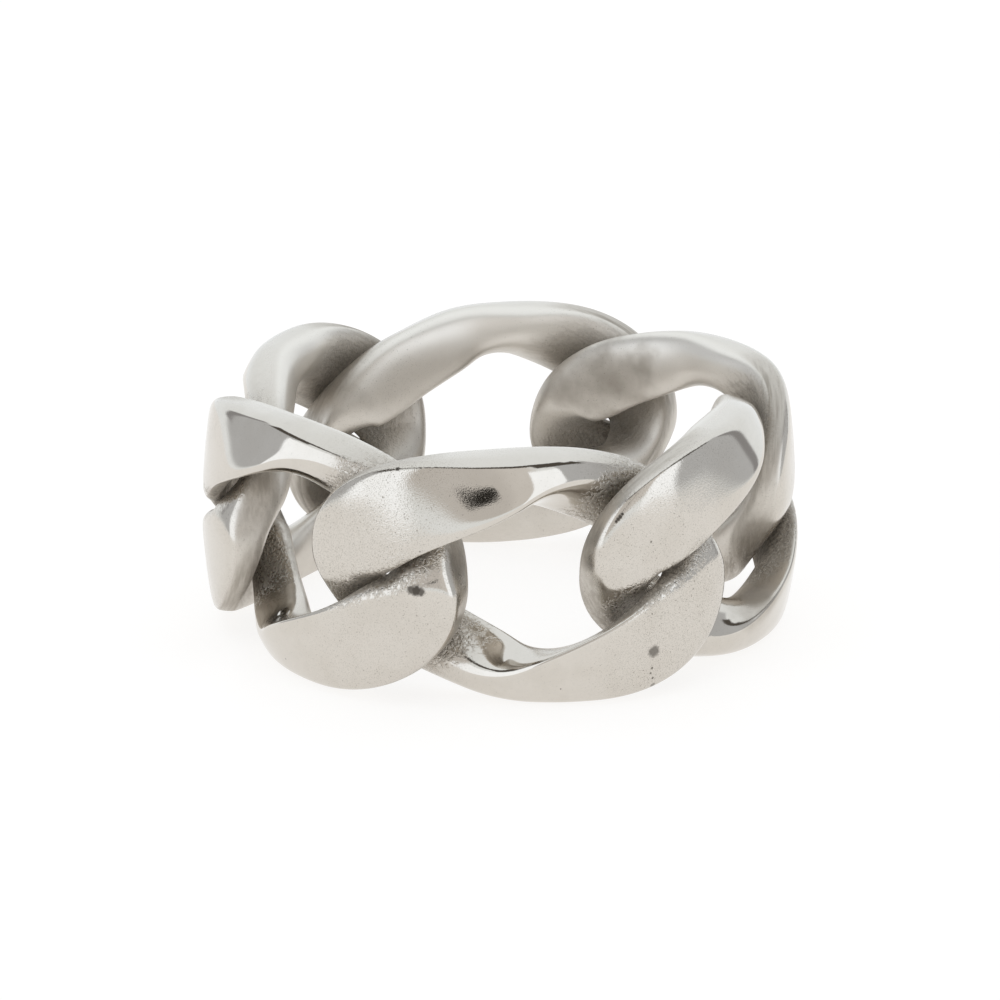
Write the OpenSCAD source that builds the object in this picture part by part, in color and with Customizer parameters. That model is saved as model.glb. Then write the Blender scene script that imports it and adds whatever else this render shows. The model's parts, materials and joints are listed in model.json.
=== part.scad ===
// Chain link ring: a stiff finger band of six interlocked curb links.
// It lies on its side: the finger hole runs along Z, and the lowest rims touch z = 0.
// Every link is the same closed strand, laid round the band's middle circle.
// Each end of a link has one strand outside the neighbour's and one inside it.

/* [Band] */
// Diameter of the finger hole, between the strands' inner faces
bore_d = 18.5; // [16:0.1:22]
// Width of the band, along the finger
band_w = 11.4; // [10.4:0.1:13]

/* [Strand] */
// Width of a strand across its broad face
strand_w = 4.3; // [3.8:0.1:4.6]
// Radial thickness of a strand where it crosses another
strand_t = 2; // [1.6:0.05:2.4]
// Clearance between two links, at their crossings and between their ends
link_gap = 0.14; // [0.08:0.02:0.3]

/* [Hidden] */
NODES = ["link_1", "link_2", "link_3", "link_4", "link_5", "link_6"];
silver = [0.73, 0.71, 0.68];

// Turn from one link to the next, and the middle circle between the strands
pitch = 360 / len(NODES);
mid_r = bore_d / 2 + strand_t + link_gap / 2;
half_w = strand_w / 2;

// How far an end's middle lies past the halfway line to the next link's, and how far a rim stands
// out from the path's highest point
end_reach = 0.62 * half_w;
rim_rise = 0.475 * half_w;

// Half a path's length along the middle circle, and half its height along the finger
path_len = mid_r * PI * pitch / 360 + end_reach + link_gap / 2;
path_rise = band_w / 2 - rim_rise;

// Sections between two rows of the table, and points for each of a section's four corners
row_steps = 3;
corner_steps = 4;

// Columns of the section table
ALONG = 0;
ACROSS = 1;
SIDE = 2;
CORNERS = 3;
SHARPNESS = 11;

// Places in a row of real sizes, which has no side
REAL_CORNERS = 2;
REAL_SHARPNESS = 10;

// Half a link, from the middle of its lower strand round its right end to the middle of its upper one.
// The other half is the same, turned half a turn about the link's radial axis.
// along, across: place of the strand's path, as shares of path_len and path_rise
// side: 1 where the strand runs outside the middle circle, -1 where it runs inside it
// corners, each as a place across the strand and a height over the middle circle, as shares of
// half_w and strand_t: outer rim, inner rim, inner back, outer back
// sharpness: of the outer rim and of the inner rim, where 1 is round
SECTIONS = [
    // along across side  outer rim     inner rim     inner back    outer back   sharpness
    [0.000, -1.00,  0.5,  0.42,  0.34, -0.50,  0.84, -0.74, -0.72,  0.54, -0.62, 2.5, 3.0],
    [0.340, -0.84,  1.0,  0.84,  0.62, -0.80,  1.00,  0.05, -0.58,  0.84, -0.54, 3.0, 4.0],
    [0.640, -0.70,  1.0,  1.02,  0.76, -0.93,  1.00, -0.74,  0.26,  1.04,  0.02, 3.0, 4.0],
    [0.880, -0.45,  1.0,  1.07,  0.76, -0.88,  1.00, -0.96,  0.46,  1.13,  0.00, 3.5, 2.6],
    [0.990, -0.16,  1.0,  0.98,  0.67, -0.60,  0.96, -0.86,  0.38,  1.14, -0.20, 3.0, 1.8],
    [1.005,  0.00,  1.0,  0.72,  0.70, -0.34,  0.90, -0.70, -0.08,  1.12, -0.42, 2.4, 1.5],
    [1.005,  0.12,  0.6,  0.62,  0.62, -0.26,  0.76, -0.64, -0.58,  1.06, -0.66, 2.2, 1.5],
    [0.995,  0.25,  0.0,  0.58,  0.40, -0.38,  0.46, -0.74, -0.90,  0.94, -0.90, 2.0, 1.4],
    [0.930,  0.42, -1.0,  0.66,  0.00, -0.64,  0.02, -0.88, -1.00,  0.81, -0.97, 1.8, 1.2],
    [0.700,  0.64, -1.0,  0.66, -0.10, -0.64, -0.03, -1.12, -1.00,  0.84, -1.00, 1.3, 1.0],
    [0.450,  0.76, -1.0,  0.60, -0.02,  0.10,  0.15, -1.12, -0.92,  0.86, -0.98, 1.5, 1.1],
    [0.212,  0.89, -0.5,  0.60,  0.10,  0.05,  0.48, -1.04, -0.80,  0.72, -0.88, 2.0, 1.6],
];

function turned(row) = [for (k = [0:len(row) - 1]) k < SIDE ? -row[k] : row[k]];

// A row in real sizes: path x and z, then the corners in millimetres, then the sharpness
function real_row(row) = [
    row[ALONG] * path_len,
    row[ACROSS] * path_rise,
    for (c = [0:3]) each [
        row[CORNERS + 2 * c] * half_w,
        row[CORNERS + 2 * c + 1] * strand_t + row[SIDE] * link_gap / 2,
    ],
    row[SHARPNESS],
    row[SHARPNESS + 1],
];

ROWS = [for (row = SECTIONS) real_row(row), for (row = SECTIONS) real_row(turned(row))];

// An item of a closed list, which may be counted past either end
function item(list, i) = list[(i + len(list)) % len(list)];

// A smooth section at a share t of the way from row i to the next one, drawn by the four rows round it
function section_at(i, t) = (
    item(ROWS, i - 1) * (1 - t) ^ 3
    + item(ROWS, i) * (3 * t ^ 3 - 6 * t ^ 2 + 4)
    + item(ROWS, i + 1) * (-3 * t ^ 3 + 3 * t ^ 2 + 3 * t + 1)
    + item(ROWS, i + 2) * t ^ 3
) / 6;

STATIONS = [for (i = [0:len(ROWS) - 1], s = [0:row_steps - 1]) section_at(i, s / row_steps)];

// One corner's stretch of the outline: a conic from the middle of one side to the middle of the next
function corner_arc(before, corner, after, weight) = [
    for (s = [0:corner_steps - 1])
    let (
        t = s / corner_steps,
        a = (1 - t) ^ 2,
        b = 2 * t * (1 - t) * weight,
        c = t ^ 2
    )
    (a * (before + corner) / 2 + b * corner + c * (corner + after) / 2) / (a + b + c)
];

// A section's closed outline, as places across the strand and heights over the middle circle
function outline(station) =
    let (
        corners = [for (c = [0:3]) [for (k = [0, 1]) station[REAL_CORNERS + 2 * c + k]]],
        weights = [station[REAL_SHARPNESS], station[REAL_SHARPNESS + 1], 1, 1]
    )
    [for (c = [0:3]) each corner_arc(item(corners, c - 1), corners[c], item(corners, c + 1), weights[c])];

// A flat place, x along and z across the band at height h, bent round the finger hole
function bent(x, z, h) =
    let (turn = x / mid_r * 180 / PI)
    [(mid_r + h) * sin(turn), -(mid_r + h) * cos(turn), z + band_w / 2];

module link(index) {
    count = len(STATIONS);
    sides = 4 * corner_steps;
    points = [
        for (i = [0:count - 1])
        let (
            before = item(STATIONS, i - 1),
            after = item(STATIONS, i + 1),
            run = [after[0] - before[0], after[1] - before[1]],
            away = [run[1], -run[0]] / norm(run)
        )
        for (p = outline(STATIONS[i]))
        bent(STATIONS[i][0] + p[0] * away[0], STATIONS[i][1] + p[0] * away[1], p[1])
    ];
    faces = [
        for (i = [0:count - 1], j = [0:sides - 1])
        let (
            a = i * sides + j,
            b = (i + 1) % count * sides + j,
            c = (i + 1) % count * sides + (j + 1) % sides,
            d = i * sides + (j + 1) % sides
        )
        each [[a, c, b], [a, d, c]]
    ];
    color(silver)
    rotate(index * pitch)
    polyhedron(points, faces);
}

module link_1() { link(0); }
module link_2() { link(1); }
module link_3() { link(2); }
module link_4() { link(3); }
module link_5() { link(4); }
module link_6() { link(5); }

link_1();
link_2();
link_3();
link_4();
link_5();
link_6();
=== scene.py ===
# Chain link ring: six interlocked curb links of worn satin silver, lying on a pale floor.
# Each link is one closed strand, swept along a short table of sections and bent round the finger hole.

import json
import math

import bpy
import numpy as np
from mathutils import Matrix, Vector, noise
from mathutils.kdtree import KDTree


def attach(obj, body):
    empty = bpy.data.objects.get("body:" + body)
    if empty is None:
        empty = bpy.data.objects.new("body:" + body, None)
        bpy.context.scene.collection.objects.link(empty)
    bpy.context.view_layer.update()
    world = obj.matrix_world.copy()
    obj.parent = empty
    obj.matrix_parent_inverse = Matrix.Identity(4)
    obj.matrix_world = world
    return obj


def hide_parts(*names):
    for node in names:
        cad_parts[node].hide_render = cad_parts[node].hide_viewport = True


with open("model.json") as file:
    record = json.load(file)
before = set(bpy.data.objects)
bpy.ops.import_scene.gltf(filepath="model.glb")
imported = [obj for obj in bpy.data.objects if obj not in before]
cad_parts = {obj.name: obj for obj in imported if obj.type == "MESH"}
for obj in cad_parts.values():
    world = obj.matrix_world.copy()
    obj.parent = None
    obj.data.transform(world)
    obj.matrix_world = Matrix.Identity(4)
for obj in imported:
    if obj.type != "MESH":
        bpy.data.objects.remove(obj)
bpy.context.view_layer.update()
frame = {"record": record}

# Sizes, in metres
MM = 0.001
HOLE = frame["record"]["mounts"][0]["dims"]
BORE_D = 2 * HOLE["r_mm"] * MM
BAND_W = HOLE["length_mm"] * MM
STRAND_W = 4.3 * MM
STRAND_T = 2.0 * MM
LINK_GAP = 0.14 * MM

LINKS = ["link_1", "link_2", "link_3", "link_4", "link_5", "link_6"]
PITCH = 2 * math.pi / len(LINKS)
MID_R = BORE_D / 2 + STRAND_T + LINK_GAP / 2
HALF_W = STRAND_W / 2
END_REACH = 0.62 * HALF_W
RIM_RISE = 0.475 * HALF_W
PATH_LEN = MID_R * PITCH / 2 + END_REACH + LINK_GAP / 2
PATH_RISE = BAND_W / 2 - RIM_RISE

# Mesh density: sections between two rows, points round a section, points tried for each corner, and how
# much a turn counts beside a length when the points are shared out
ROW_STEPS = 13
RING_POINTS = 112
CORNER_TRIES = 90
TURN_COST = 0.9

# Columns of the section table
ALONG, ACROSS, SIDE, CORNERS, SHARPNESS = 0, 1, 2, 3, 11

# Columns of a row in real sizes, which has no side
REAL_CORNERS, REAL_SHARPNESS = 2, 10

# Half a link, from the middle of its lower strand round its right end to the middle of its upper one.
# along, across: place of the strand's path, as shares of PATH_LEN and PATH_RISE
# side: 1 where the strand runs outside the middle circle, -1 where it runs inside it
# corners, each as a place across the strand and a height over the middle circle, as shares of
# HALF_W and STRAND_T: outer rim, inner rim, inner back, outer back
# sharpness: of the outer rim and of the inner rim, where 1 is round
SECTIONS = np.array([
    # along across side  outer rim     inner rim     inner back    outer back   sharpness
    [0.000, -1.00,  0.5,  0.42,  0.34, -0.50,  0.84, -0.74, -0.72,  0.54, -0.62, 2.5, 3.0],
    [0.340, -0.84,  1.0,  0.84,  0.62, -0.80,  1.00,  0.05, -0.58,  0.84, -0.54, 3.0, 4.0],
    [0.640, -0.70,  1.0,  1.02,  0.76, -0.93,  1.00, -0.74,  0.26,  1.04,  0.02, 3.0, 4.0],
    [0.880, -0.45,  1.0,  1.07,  0.76, -0.88,  1.00, -0.96,  0.46,  1.13,  0.00, 3.5, 2.6],
    [0.990, -0.16,  1.0,  0.98,  0.67, -0.60,  0.96, -0.86,  0.38,  1.14, -0.20, 3.0, 1.8],
    [1.005,  0.00,  1.0,  0.72,  0.70, -0.34,  0.90, -0.70, -0.08,  1.12, -0.42, 2.4, 1.5],
    [1.005,  0.12,  0.6,  0.62,  0.62, -0.26,  0.76, -0.64, -0.58,  1.06, -0.66, 2.2, 1.5],
    [0.995,  0.25,  0.0,  0.58,  0.40, -0.38,  0.46, -0.74, -0.90,  0.94, -0.90, 2.0, 1.4],
    [0.930,  0.42, -1.0,  0.66,  0.00, -0.64,  0.02, -0.88, -1.00,  0.81, -0.97, 1.8, 1.2],
    [0.700,  0.64, -1.0,  0.66, -0.10, -0.64, -0.03, -1.12, -1.00,  0.84, -1.00, 1.3, 1.0],
    [0.450,  0.76, -1.0,  0.60, -0.02,  0.10,  0.15, -1.12, -0.92,  0.86, -0.98, 1.5, 1.1],
    [0.212,  0.89, -0.5,  0.60,  0.10,  0.05,  0.48, -1.04, -0.80,  0.72, -0.88, 2.0, 1.6],
])


def real_rows():
    """The whole link's rows in metres: path x and z, four corners, and the two sharpnesses."""
    turned = SECTIONS.copy()
    turned[:, :SIDE] *= -1
    rows = []
    for row in np.vstack([SECTIONS, turned]):
        corners = row[CORNERS:SHARPNESS].reshape(4, 2) * [HALF_W, STRAND_T]
        corners[:, 1] += row[SIDE] * LINK_GAP / 2
        rows.append([row[ALONG] * PATH_LEN, row[ACROSS] * PATH_RISE, *corners.ravel(), *row[SHARPNESS:]])
    return np.array(rows)


def smooth_sections():
    """Sections along the strand, each on a smooth curve drawn by the four rows round it."""
    rows = real_rows()
    t = (np.arange(ROW_STEPS) / ROW_STEPS)[:, None, None]
    sections = (
        np.roll(rows, 1, 0) * (1 - t) ** 3
        + rows * (3 * t**3 - 6 * t**2 + 4)
        + np.roll(rows, -1, 0) * (-3 * t**3 + 3 * t**2 + 3 * t + 1)
        + np.roll(rows, -2, 0) * t**3
    ) / 6
    return sections.transpose(1, 0, 2).reshape(-1, rows.shape[1])


def outlines(sections):
    """Each section's closed outline as conics from the middle of one side to the middle of the next."""
    corners = sections[:, REAL_CORNERS:REAL_SHARPNESS].reshape(-1, 4, 2)
    weights = np.ones((len(sections), 4))
    weights[:, :2] = sections[:, REAL_SHARPNESS:]
    t = (np.arange(CORNER_TRIES) / CORNER_TRIES)[None, :, None]
    arcs = []
    for c in range(4):
        corner = corners[:, c][:, None]
        start = (corners[:, c - 1][:, None] + corner) / 2
        end = (corner + corners[:, (c + 1) % 4][:, None]) / 2
        a, b, d = (1 - t) ** 2, 2 * t * (1 - t) * weights[:, c][:, None, None], t**2
        arcs.append((a * start + b * corner + d * end) / (a + b + d))
    return np.concatenate(arcs, 1)


def spread(outline):
    """The outline's points shared out by length and by how sharply it turns, so rims are finely cut."""
    closed = np.vstack([outline, outline[:1]])
    step = np.diff(closed, axis=0)
    length = np.hypot(step[:, 0], step[:, 1])
    heading = np.unwrap(np.arctan2(step[:, 1], step[:, 0]))
    once_round = math.copysign(2 * math.pi, heading[-1] - heading[0])
    turn = np.abs(np.diff(np.append(heading, heading[0] + once_round)))
    cost = length / length.sum() + TURN_COST * (turn + np.roll(turn, 1)) / (2 * turn.sum())
    reached = np.append(0, np.cumsum(cost))
    wanted = np.linspace(0, reached[-1], RING_POINTS, endpoint=False)
    return np.stack([np.interp(wanted, reached, closed[:, k]) for k in (0, 1)], 1)


def strand_grid():
    """A link's points round the middle circle, facing -Y, and their places within each section."""
    sections = smooth_sections()
    run = np.roll(sections[:, :2], -1, 0) - np.roll(sections[:, :2], 1, 0)
    run /= np.linalg.norm(run, axis=1)[:, None]
    shape = np.array([spread(o) for o in outlines(sections)])
    x = sections[:, :1] + shape[..., 0] * run[:, 1:]
    z = sections[:, 1:2] - shape[..., 0] * run[:, :1]
    turn = x / MID_R
    radius = MID_R + shape[..., 1]
    return np.stack([radius * np.sin(turn), -radius * np.cos(turn), z + BAND_W / 2], -1), shape


def grid_normals(grid):
    """Which way the surface faces at each point."""
    along = np.roll(grid, -1, 0) - np.roll(grid, 1, 0)
    around = np.roll(grid, -1, 1) - np.roll(grid, 1, 1)
    normal = np.cross(along, around)
    return normal / (np.linalg.norm(normal, axis=2)[..., None] + 1e-12)


def turned_about_hole(points, angle):
    """The points turned about the finger hole's axis."""
    c, s = math.cos(angle), math.sin(angle)
    return points @ np.array([[c, s, 0], [-s, c, 0], [0, 0, 1]])


def room_to_neighbours(grid):
    """How far each point lies from the nearest point of the two neighbouring links."""
    points = grid.reshape(-1, 3)
    near = KDTree(2 * len(points))
    for side in (-1, 1):
        for i, p in enumerate(turned_about_hole(points, side * PITCH)):
            near.insert(p, i)
    near.balance()
    return np.array([near.find(p)[2] for p in points])


def mesh_from_grid(name, grid):
    """A closed strand's mesh, from its points round each section."""
    rings, sides = grid.shape[:2]
    i, j = np.meshgrid(np.arange(rings), np.arange(sides), indexing="ij")
    after, beside = (i + 1) % rings, (j + 1) % sides
    faces = np.stack([i * sides + j, after * sides + j, after * sides + beside, i * sides + beside], -1)
    mesh = bpy.data.meshes.new(name)
    mesh.from_pydata(grid.reshape(-1, 3).tolist(), [], faces.reshape(-1, 4).tolist())
    mesh.polygons.foreach_set("use_smooth", [True] * len(mesh.polygons))
    return mesh


# How far the hand finish moves the surface, and the size of its waves, for broad waves and fine ones
WAVES = [(0.018 * MM, 3.0 * MM), (0.005 * MM, 1.2 * MM)]


def hand_finished(grid, normals, seed):
    """Slow, shallow waves, different on each link, as hand polishing leaves them."""
    points, out = grid.reshape(-1, 3), normals.reshape(-1, 3)
    moved = points.copy()
    for depth, size in WAVES:
        wave = np.array([noise.noise(Vector(p) / size + Vector((seed, 0, 0))) for p in points])
        moved += depth * wave[:, None] * out
    return moved.reshape(grid.shape)


def rise(value, low, high):
    """0 where the value is at low, 1 where it is at high, and even between them."""
    return np.clip((value - low) / (high - low), 0, 1)


# How far from a neighbour tarnish and shade reach
TARNISH_REACH = 1.5 * MM
SHADE_REACH = 2.8 * MM


def place_shares(grid, normals, off_centre, places):
    """What each point's place on its link tells the material, by the name of its attribute."""
    distance = np.linalg.norm(grid[..., :2], axis=2)
    outward = (normals * grid * [1, 1, 0] / distance[..., None]).sum(2)
    height = (distance - MID_R) / STRAND_T
    room = room_to_neighbours(grid)
    loop = np.linspace(0, 2 * math.pi, len(grid), endpoint=False)[:, None] + np.zeros(RING_POINTS)
    # An end's flanks are its side walls outside the middle circle, without its face and its inner side
    flank = rise(outward, 0.85, -0.15) * rise(outward, -0.6, -0.1)
    flank *= rise(off_centre, 0.45, 0.85) * rise(height, -0.6, -0.2)
    return {
        "crevice": rise(room, TARNISH_REACH, 0),
        "near": rise(room, SHADE_REACH, 0),
        "inner": rise(outward, 0.5, -0.5),
        "flank": flank,
        "sunk": rise(height, 0.3, -0.5),
        "across": places[..., 0] / MM,
        "high": places[..., 1] / MM,
        "loop_x": np.cos(loop),
        "loop_y": np.sin(loop),
    }


class Graph:
    """Short ways to add and join shader nodes."""

    def __init__(self, tree):
        self.tree = tree
        tree.nodes.clear()

    def add(self, kind, inputs=None, **settings):
        node = self.tree.nodes.new("ShaderNode" + kind)
        for name, value in settings.items():
            setattr(node, name, value)
        for name, value in (inputs or {}).items():
            self.put(node.inputs[name], value)
        return node

    def put(self, socket, value):
        if isinstance(value, bpy.types.Node):
            value = value.outputs[0]
        if isinstance(value, bpy.types.NodeSocket):
            self.tree.links.new(value, socket)
        else:
            socket.default_value = value

    def math(self, operation, a, b=0.0, clamp=False):
        return self.add("Math", {0: a, 1: b}, operation=operation, use_clamp=clamp)

    def times(self, a, b, clamp=False):
        return self.math("MULTIPLY", a, b, clamp)

    def total(self, value, *others, clamp=False):
        for other in others:
            value = self.math("ADD", value, other)
        value.use_clamp = clamp
        return value

    def largest(self, value, *others):
        for other in others:
            value = self.math("MAXIMUM", value, other)
        return value

    def distance(self, a, b):
        return self.add("VectorMath", {0: a, 1: b}, operation="DISTANCE").outputs["Value"]

    def ramp(self, value, low, high, to_low=0.0, to_high=1.0):
        """A smooth step from to_low, where the value is at low, to to_high, where it is at high."""
        return self.add(
            "MapRange",
            {"Value": value, "From Min": low, "From Max": high, "To Min": to_low, "To Max": to_high},
            interpolation_type="SMOOTHSTEP",
        )

    def mix(self, share, a, b):
        node = self.add("Mix", data_type="RGBA")
        self.put(node.inputs["Factor"], share)
        self.put(node.inputs["A"], a)
        self.put(node.inputs["B"], b)
        return node.outputs["Result"]

    def noise(self, where, scale, detail=2.0, roughness=0.5):
        inputs = {"Vector": where, "Scale": scale, "Detail": detail, "Roughness": roughness}
        return self.add("TexNoise", inputs)

    def attribute(self, name):
        return self.add("Attribute", attribute_name=name).outputs["Fac"]


def rgb(r, g, b):
    return (r, g, b, 1.0)


# Streaks along the strand: how many to a millimetre across it, and their slower change along it
STREAKS_ACROSS = 6.0
STREAKS_ALONG = 5.0


def streak_noise(g):
    """Noise drawn out along the strand, without a seam where the strand closes."""
    where = g.add("CombineXYZ", {
        "X": g.times(g.attribute("across"), STREAKS_ACROSS),
        "Y": g.times(g.attribute("high"), STREAKS_ACROSS),
        "Z": g.times(g.attribute("loop_x"), STREAKS_ALONG),
    })
    fourth = g.times(g.attribute("loop_y"), STREAKS_ALONG)
    inputs = {"Vector": where, "W": fourth, "Scale": 1.0, "Detail": 2.0}
    return g.add("TexNoise", inputs, noise_dimensions="4D")


class Surface:
    """What a place on a link tells, and the patterns of noise over it."""

    def __init__(self, g):
        # The place in millimetres, and what it tells, as shares
        scale = (1 / MM,) * 3
        self.place = g.add("Mapping", {"Vector": g.add("TexCoord").outputs["Object"], "Scale": scale})
        self.crevice = g.attribute("crevice")
        self.near = g.attribute("near")
        self.inner = g.attribute("inner")
        self.flank = g.attribute("flank")
        self.worn = g.attribute("worn")
        self.dull = g.attribute("dull")
        self.tarnish_and_shade_left = g.attribute("tarnish_and_shade_left")
        self.hidden = g.largest(g.ramp(self.inner, 0.1, 0.9), g.attribute("sunk"))
        self.grainy = g.total(0.15, g.times(self.worn, 0.85))
        # Noise, from broad to fine
        self.patches = g.noise(self.place, 0.5, 3.0)
        self.mottle = g.noise(self.place, 3.2, 3.0, 0.65)
        self.coarse = g.noise(self.place, 7.0, 2.0, 0.6)
        self.dots = g.noise(self.place, 13.0, 0.0)
        self.grain = g.noise(self.place, 14.0, 2.0, 0.6)
        self.fine = g.noise(self.place, 22.0, 1.0)
        self.streaks = streak_noise(g)


# Small marks of wear, and a painted reflection of the camera's lens, as places in millimetres, radius in
# millimetres and strength
MARKS_AND_LENS_REFLECTION = [
    # x, y, z, radius, strength
    (5.55, -11.87, 2.33, 0.36, 0.75),
    (5.49, -11.78, 1.53, 0.08, 0.80),
    (5.43, -11.76, 1.29, 0.07, 0.80),
    (5.53, -11.65, 1.03, 0.08, 0.80),
    (5.56, -11.47, 0.64, 0.16, 0.60),
    (5.39, -11.92, 7.34, 0.07, 0.70),
    (3.86, -12.17, 8.38, 0.10, 1.00),
    (3.94, -12.16, 8.48, 0.12, 1.00),
    (4.03, -12.14, 8.58, 0.12, 1.00),
    (4.12, -12.12, 8.69, 0.10, 1.00),
    # Painted reflection: three dark spots where the camera's lens shows on the left front link's tip
    (-4.95, -12.07, 5.53, 0.27, 0.90),
    (-4.77, -12.10, 5.50, 0.31, 1.00),
    (-4.59, -12.12, 5.46, 0.27, 0.90),
    (-5.49, -11.47, 10.81, 0.12, 1.00),
    (1.45, -12.51, 0.97, 0.05, 0.70),
    (-10.11, -7.51, 0.97, 0.06, 0.60),
    (-4.62, -12.46, 7.38, 0.05, 0.70),
]


def reflection_and_marks_share(g, metal):
    """How strongly a place is darkened by the nearest mark, or by the painted lens reflection, with
    ragged edges.
    """
    ragged = g.times(g.math("SUBTRACT", g.noise(metal.place, 9.0, 2.0), 0.5), 0.22)
    share = 0.0
    for x, y, z, radius, strength in MARKS_AND_LENS_REFLECTION:
        off = g.total(g.distance(metal.place, (x, y, z)), g.times(ragged, min(1.0, 3 * radius)))
        share = g.largest(share, g.ramp(off, 0.45 * radius, radius, strength, 0.0))
    return share


# Broad brown patches of painted shade on the inside and in the gaps, placed in the same way
SHADE_PATCHES = [
    # x, y, z, radius, strength
    (5.80, 7.20, 8.60, 3.4, 0.95),
    (10.90, -5.80, 2.60, 2.0, 0.90),
    (-6.30, 7.60, 8.60, 1.8, 0.70),
]


def shade_patches_share(g, metal):
    """How strongly a place is darkened by the broad patches of painted shade, with an uneven edge."""
    share = 0.0
    for x, y, z, radius, strength in SHADE_PATCHES:
        edge = g.ramp(metal.patches, 0.2, 0.8, -0.4 * radius, 0.4 * radius)
        off = g.total(g.distance(metal.place, (x, y, z)), edge)
        share = g.largest(share, g.ramp(off, 0.0, radius, strength, 0.0))
    return share


def pits_share(g, metal):
    """Small pits, most of all on the worn ends."""
    pits = g.largest(g.ramp(metal.fine, 0.68, 0.74), g.ramp(metal.dots, 0.76, 0.80))
    return g.times(pits, g.times(metal.grainy, g.ramp(metal.patches, 0.35, 0.6, 0.35, 1.0)))


def tarnish_share(g, metal):
    """Brown tarnish in the crevices, with a broken edge that is more even on the duller links."""
    deep = g.largest(metal.crevice, g.times(g.times(metal.near, metal.hidden), 0.85))
    even = g.math("SUBTRACT", 1.0, g.times(metal.dull, 5.0))
    patchy = g.times(g.ramp(metal.coarse, 0.35, 0.65, -0.26, 0.26), even)
    streaky = g.ramp(metal.streaks, 0.35, 0.65, -0.16, 0.16)
    broken = g.total(deep, patchy, streaky)
    return g.times(g.times(g.ramp(broken, 0.3, 0.75), g.ramp(deep, 0.0, 0.6)), metal.tarnish_and_shade_left)


def shade_share(g, metal):
    """Painted shade, streaky, on the inside and on the ends' flanks, and in the broad patches of painted
    shade.
    """
    inside = g.times(g.times(metal.hidden, metal.tarnish_and_shade_left), g.ramp(metal.near, 0.2, 0.9, 0.0, 0.75))
    inside = g.times(inside, g.ramp(metal.streaks, 0.3, 0.7, 1.15, 0.8), clamp=True)
    flanks = g.times(g.ramp(metal.flank, 0.1, 0.6), g.ramp(metal.near, 0.1, 0.6, 0.2, 0.6))
    flanks = g.times(flanks, g.ramp(metal.streaks, 0.35, 0.65, 1.3, 0.6), clamp=True)
    return g.largest(inside, flanks, shade_patches_share(g, metal))


# Colours of the metal: its two clean tones and a duller one, specks on the worn ends, the painted light
# on the top of the inside, pits, painted shade, the tarnish's two browns, and marks and the painted lens
# reflection
CLEAN = [rgb(0.660, 0.622, 0.568), rgb(0.636, 0.597, 0.541)]
DULLED = rgb(0.580, 0.550, 0.500)
SPECK = rgb(0.44, 0.41, 0.36)
PAINTED_TOP_LIGHT = rgb(0.80, 0.765, 0.71)
PIT = rgb(0.14, 0.125, 0.10)
SHADED = rgb(0.380, 0.342, 0.294)
BROWNS = [rgb(0.25, 0.222, 0.190), rgb(0.54, 0.495, 0.435)]
MARK_AND_LENS_REFLECTION = rgb(0.07, 0.06, 0.05)

# Heights in millimetres between which the inside turns paler with painted light
TOP_LIGHT_FROM, TOP_LIGHT_TO = 9.2, 10.5


def metal_colour(g, metal, pits, tarnish, shade, marks_and_reflection):
    """The metal's colour, from the clean metal up to painted light, pits, painted shade, tarnish and
    marks over it.
    """
    clean = g.mix(g.ramp(metal.patches, 0.42, 0.62), *CLEAN)
    clean = g.mix(g.ramp(metal.mottle, 0.40, 0.62, 0.0, 0.12), clean, DULLED)
    specks = g.times(g.ramp(metal.fine, 0.48, 0.66), g.times(metal.worn, 0.55))
    clean = g.mix(specks, clean, SPECK)
    # Painted light: the inside made paler towards its top
    painted_top_light_share = g.ramp(g.add("SeparateXYZ", {"Vector": metal.place}).outputs["Z"], TOP_LIGHT_FROM, TOP_LIGHT_TO)
    clean = g.mix(g.times(g.ramp(metal.inner, 0.2, 1.0), painted_top_light_share), clean, PAINTED_TOP_LIGHT)
    pitted = g.mix(g.times(pits, 0.75), clean, PIT)
    # Painted shade on the inside, on the flanks and in the broad patches
    shaded = g.mix(shade, pitted, SHADED)
    brown = g.mix(g.ramp(metal.coarse, 0.42, 0.58), *BROWNS)
    tarnished = g.mix(g.times(tarnish, 0.75), shaded, brown)
    # Marks of wear, and the painted lens reflection, darken the colour last
    return g.mix(g.times(marks_and_reflection, 0.95), tarnished, MARK_AND_LENS_REFLECTION)


def metal_roughness(g, metal, pits, tarnish, shade, marks_and_reflection):
    """The roughness of the polish, and what shade, wear and tarnish add to it."""
    return g.total(
        g.ramp(metal.mottle, 0.35, 0.65, 0.03, 0.055),
        g.times(shade, 0.26),
        g.times(g.ramp(metal.inner, 0.1, 0.6), 0.24),
        g.times(g.ramp(metal.flank, 0.1, 0.5), 0.16),
        metal.dull,
        g.times(pits, 0.25),
        g.times(metal.worn, 0.02),
        g.times(g.largest(tarnish, marks_and_reflection), 0.36),
        clamp=True,
    )


# Depth of the relief
RELIEF = 0.006 * MM


def metal_relief(g, metal, pits, tarnish, shade, marks_and_reflection):
    """Grain on the worn ends, pits and marks sunk in, and a rough skin of tarnish and streaks."""
    grain = g.total(g.times(metal.grain, 0.7), g.times(metal.fine, 0.3))
    sunk = g.math("SUBTRACT", grain, g.times(g.largest(pits, marks_and_reflection), 0.5))
    height = g.total(
        g.times(sunk, g.total(metal.grainy, g.times(tarnish, 2.5))),
        g.times(metal.streaks, g.times(shade, 1.6)),
        g.times(metal.coarse, g.times(tarnish, 2.5)),
    )
    return g.add("Bump", {"Height": height, "Distance": RELIEF, "Strength": 1.0})


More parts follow.
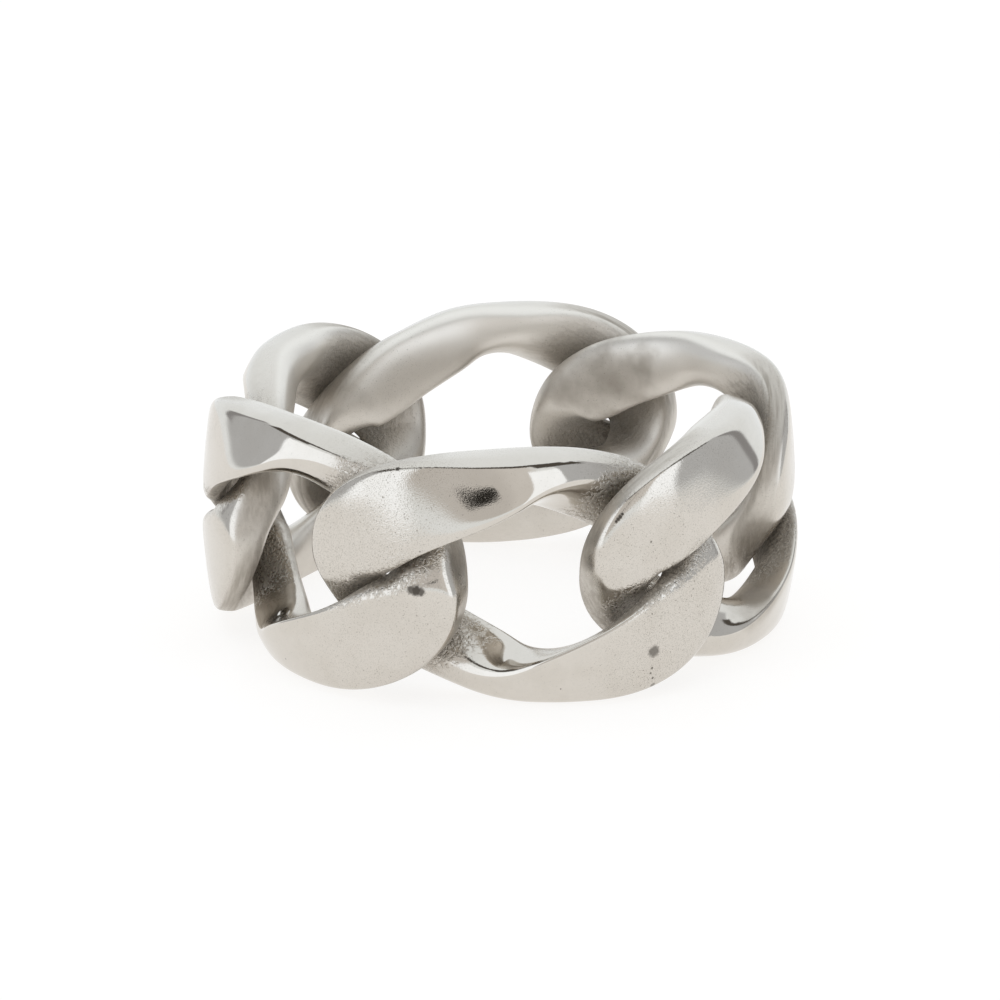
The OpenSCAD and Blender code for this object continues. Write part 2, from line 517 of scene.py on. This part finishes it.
def silver_material():
    """Worn satin silver: a warm light metal with grain, pits, marks and brown tarnish in its crevices,
    and painted shade, light and lens reflection in its colour.
    """
    material = bpy.data.materials.new("worn_silver")
    material.use_nodes = True
    g = Graph(material.node_tree)
    metal = Surface(g)
    layers = [share(g, metal) for share in (pits_share, tarnish_share, shade_share, reflection_and_marks_share)]
    shader = g.add("BsdfPrincipled", {
        "Base Color": metal_colour(g, metal, *layers),
        "Metallic": 1.0,
        "Roughness": metal_roughness(g, metal, *layers),
        "Normal": metal_relief(g, metal, *layers),
    })
    g.add("OutputMaterial", {"Surface": shader})
    return material


# The stage's own light
GLOW = rgb(1.0, 0.99, 0.978)
GLOW_STRENGTH = 1.11


def stage_material(name, colour, glow):
    """A plain pale surface; glow is the share of its brightness that it gives by itself."""
    material = bpy.data.materials.new(name)
    material.use_nodes = True
    g = Graph(material.node_tree)
    plain = g.add("BsdfDiffuse", {"Color": colour})
    light = g.add("Emission", {"Color": GLOW, "Strength": GLOW_STRENGTH})
    g.add("OutputMaterial", {"Surface": g.add("MixShader", {"Fac": glow, 1: plain, 2: light})})
    return material


# How grainy each link's ends are, how much rougher its polish is than the front link's, and how much of
# its crevices' tarnish and of its painted shade is left
WORN = [1.0, 0.6, 0.3, 0.3, 0.3, 0.5]
DULL = [0.00, 0.02, 0.12, 0.12, 0.12, 0.02]
TARNISH_AND_SHADE_LEFT = [1.0, 1.0, 0.8, 0.4, 0.5, 1.0]

# Where a link's ends start to be worn and where they are wholly so, as shares of its half length
WORN_FROM, WORN_TO = 0.3, 0.8

# Step from one link's hand-finish waves to the next one's
WAVES_STEP = 7.3

# Links
silver = silver_material()
link_grid, places = strand_grid()
link_normals = grid_normals(link_grid)
off_centre = np.abs(np.arctan2(link_grid[..., 0], -link_grid[..., 1])) / (PITCH / 2)
shares = place_shares(link_grid, link_normals, off_centre, places)
for number, node in enumerate(LINKS):
    finished = hand_finished(link_grid, link_normals, WAVES_STEP * number)
    placed = turned_about_hole(finished, number * PITCH)
    mesh = mesh_from_grid("ring_" + node, placed)
    shares["worn"] = WORN[number] * rise(off_centre, WORN_FROM, WORN_TO)
    shares["dull"] = np.full(off_centre.shape, DULL[number])
    shares["tarnish_and_shade_left"] = np.full(off_centre.shape, TARNISH_AND_SHADE_LEFT[number])
    for name, share in shares.items():
        values = mesh.attributes.new(name, "FLOAT", "POINT").data
        values.foreach_set("value", share.astype(np.float32).ravel())
    mesh.materials.append(silver)
    piece = bpy.data.objects.new("ring_" + node, mesh)
    bpy.context.scene.collection.objects.link(piece)
    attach(piece, "root")
    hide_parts(node)

# Floor: a round sheet, beyond which the tent is as pale
FLOOR_RADIUS = 90 * MM
FLOOR_SIDES = 96
FLOOR_GREY = rgb(0.9, 0.9, 0.9)
FLOOR_GLOW = 0.75
bpy.ops.mesh.primitive_circle_add(radius=FLOOR_RADIUS, vertices=FLOOR_SIDES, fill_type="NGON")
floor = bpy.context.object
floor.name = "floor"
floor.data.materials.append(stage_material("pale_floor", FLOOR_GREY, FLOOR_GLOW))

# Camera: where it stands round the ring, how large the ring shows, and the sizes of its own
CAMERA_AZIMUTH = math.radians(-5.4)
CAMERA_ELEVATION = math.radians(18.0)
CAMERA_DISTANCE = 300 * MM
PIXELS = 1000
PIXELS_PER_MM = 22.4
AIM_BELOW_CENTRE = 0.16 * MM
SENSOR_MM = 36.0
CAMERA_CLIP = 10 * MM, 10.0


def aimed_camera():
    """The camera, at the photo's angle to the ring."""
    data = bpy.data.cameras.new("camera")
    data.sensor_width = SENSOR_MM
    data.lens = SENSOR_MM * PIXELS_PER_MM * (CAMERA_DISTANCE / MM) / PIXELS
    data.clip_start, data.clip_end = CAMERA_CLIP
    camera = bpy.data.objects.new("camera", data)
    towards = Vector((
        math.sin(CAMERA_AZIMUTH) * math.cos(CAMERA_ELEVATION),
        -math.cos(CAMERA_AZIMUTH) * math.cos(CAMERA_ELEVATION),
        math.sin(CAMERA_ELEVATION),
    ))
    turn = towards.to_track_quat("Z", "Y")
    centre = Vector((0, 0, BAND_W / 2)) - AIM_BELOW_CENTRE * (turn @ Vector((0, 1, 0)))
    camera.location = centre + CAMERA_DISTANCE * towards
    camera.rotation_mode = "QUATERNION"
    camera.rotation_quaternion = turn
    bpy.context.scene.collection.objects.link(camera)
    return camera


bpy.context.scene.camera = aimed_camera()

# Light tent, by direction: azimuth from the camera's side and positive to its right, and elevation over
# the floor
TENT = (1.03, 1.08, 1.12)
SIDE_GREY = (0.60, 0.62, 0.645)
EDGE_GREY = (0.34, 0.34, 0.35)
FRONT_GREY = (0.72, 0.70, 0.68)
FRONT_RIGHT = (0.82, 0.80, 0.78)
SEAM = (0.10, 0.09, 0.08)
STRIP = (1.36, 1.43, 1.52)
ZONES = [
    # azimuth from, to, elevation from, to, soft edges of both (degrees), colour
    (-122, -74, -1, 42, 7, 4, SIDE_GREY),
    (-128, -123, 4, 42, 3, 4, EDGE_GREY),
    (67, 124, -4, 42, 5, 3, SIDE_GREY),
    (121, 126, -4, 32, 2, 3, EDGE_GREY),
    (-35, 38, 4, 46, 2, 3, FRONT_GREY),
    (26, 38, 4, 46, 14, 3, FRONT_RIGHT),
    (-110, 90, 46, 50, 6, 2, SEAM),
    (-110, -60, 42, 46, 4, 2, SEAM),
    (50, 110, 41, 46, 4, 2, SEAM),
    (-76, -37, -8, 36, 2, 2, STRIP),
    (40, 64, -9, 34, 2, 3, STRIP),
]

# The camera's own reflection: its middle by azimuth and elevation, and how an offset from it turns into
# shares of its half width and half height
LENS_AT = (1.0, 15.8)
LENS_SHARES = [(0.196, -0.177), (0.315, -0.565)]
LENS_SOFT = 0.06
LENS_GREY = (0.03, 0.028, 0.025)


def between(g, value, low, high, soft):
    """1 between low and high, falling smoothly to 0 over the soft edges outside them."""
    return g.times(g.ramp(value, low - soft, low), g.ramp(value, high + soft, high))


def lens_share(g, azimuth, elevation):
    """1 in the directions of the camera's opening, an oval with a soft edge, and 0 round it."""
    off_azimuth = g.math("SUBTRACT", azimuth, LENS_AT[0])
    off_elevation = g.math("SUBTRACT", elevation, LENS_AT[1])
    squares = []
    for by_azimuth, by_elevation in LENS_SHARES:
        share = g.total(g.times(off_azimuth, by_azimuth), g.times(off_elevation, by_elevation))
        squares.append(g.times(share, share))
    return g.ramp(g.total(*squares), 1 + LENS_SOFT, 1 - LENS_SOFT)


def light_tent():
    """Soft light from all round, with the greys, seams and bright strips that the metal mirrors."""
    world = bpy.data.worlds.new("light_tent")
    world.use_nodes = True
    g = Graph(world.node_tree)
    direction = {"Vector": g.add("TexCoord").outputs["Generated"], "Angle": -CAMERA_AZIMUTH}
    axes = g.add("SeparateXYZ", {"Vector": g.add("VectorRotate", direction, rotation_type="Z_AXIS")})
    forward = g.times(axes.outputs["Y"], -1.0)
    azimuth = g.times(g.math("ARCTAN2", axes.outputs["X"], forward), 180 / math.pi)
    elevation = g.times(g.math("ARCSINE", axes.outputs["Z"]), 180 / math.pi)
    tent = rgb(*TENT)
    for az_from, az_to, el_from, el_to, az_soft, el_soft, colour in ZONES:
        beside = between(g, azimuth, az_from, az_to, az_soft)
        level = between(g, elevation, el_from, el_to, el_soft)
        tent = g.mix(g.times(beside, level), tent, rgb(*colour))
    tent = g.mix(lens_share(g, azimuth, elevation), tent, rgb(*LENS_GREY))
    g.add("OutputWorld", {"Surface": g.add("Background", {"Color": tent, "Strength": 1.0})})
    return world


bpy.context.scene.world = light_tent()

bpy.context.scene.view_settings.view_transform = "Standard"
